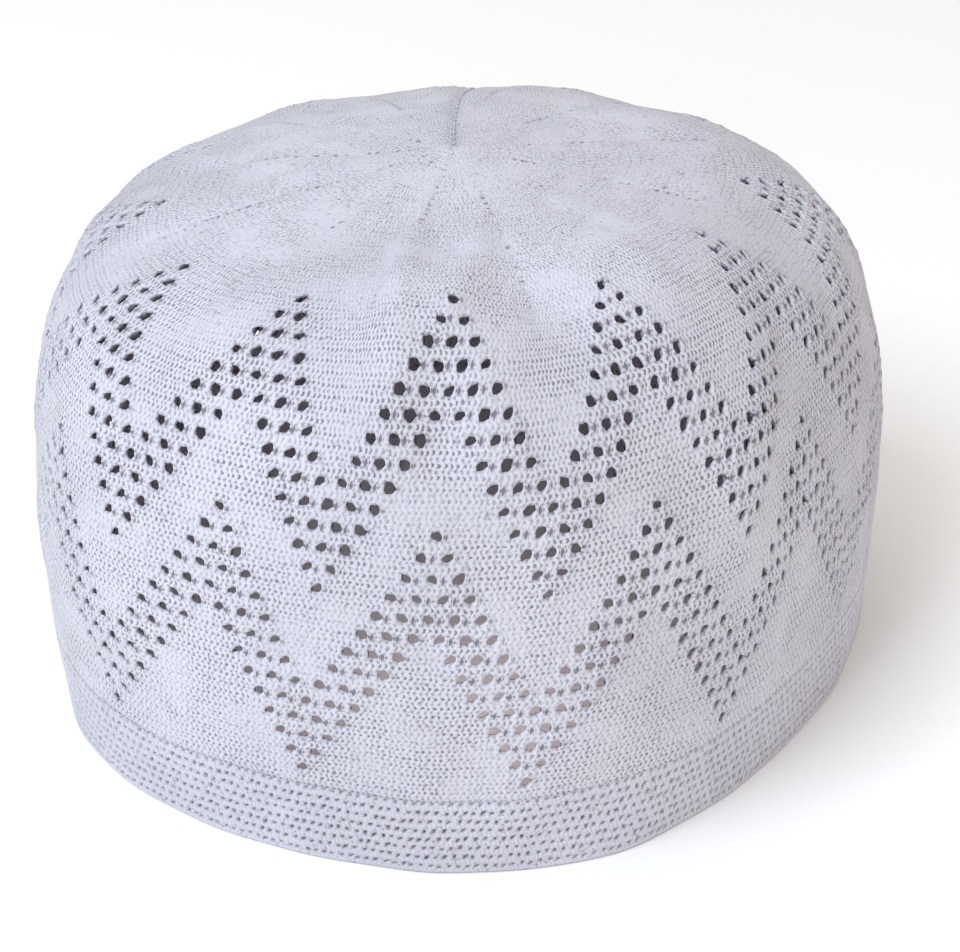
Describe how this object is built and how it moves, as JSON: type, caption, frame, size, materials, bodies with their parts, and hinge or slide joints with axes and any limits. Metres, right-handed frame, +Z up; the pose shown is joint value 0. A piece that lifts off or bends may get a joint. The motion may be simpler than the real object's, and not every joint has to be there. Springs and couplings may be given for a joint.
{
  "type": "kufi cap",
  "caption": "Brimless knitted cap with a round crown, a tall side pierced by two zigzag bands of eyelets, and a turned hem band.",
  "frame": {"origin": "on the surface the cap stands on, under the middle of the cap's box", "axes": "+Z up through the crown, +X to the cap's side that is on the right in the picture, -Y towards the front"},
  "size_m": [0.189, 0.1742, 0.12],
  "materials": {
    "knit_cotton": "matt off-white cotton jersey knit with a faint lavender cast",
    "hem_mesh_cotton": "matt off-white cotton, small tuck-stitch mesh, two layers",
    "linking_yarn": "matt off-white cotton yarn in linked stitches"
  },
  "bodies": {
    "root": {"knit_body": "knit_cotton", "rim_hem": "hem_mesh_cotton", "join_seam": "linking_yarn"}
  },
  "joints": []
}
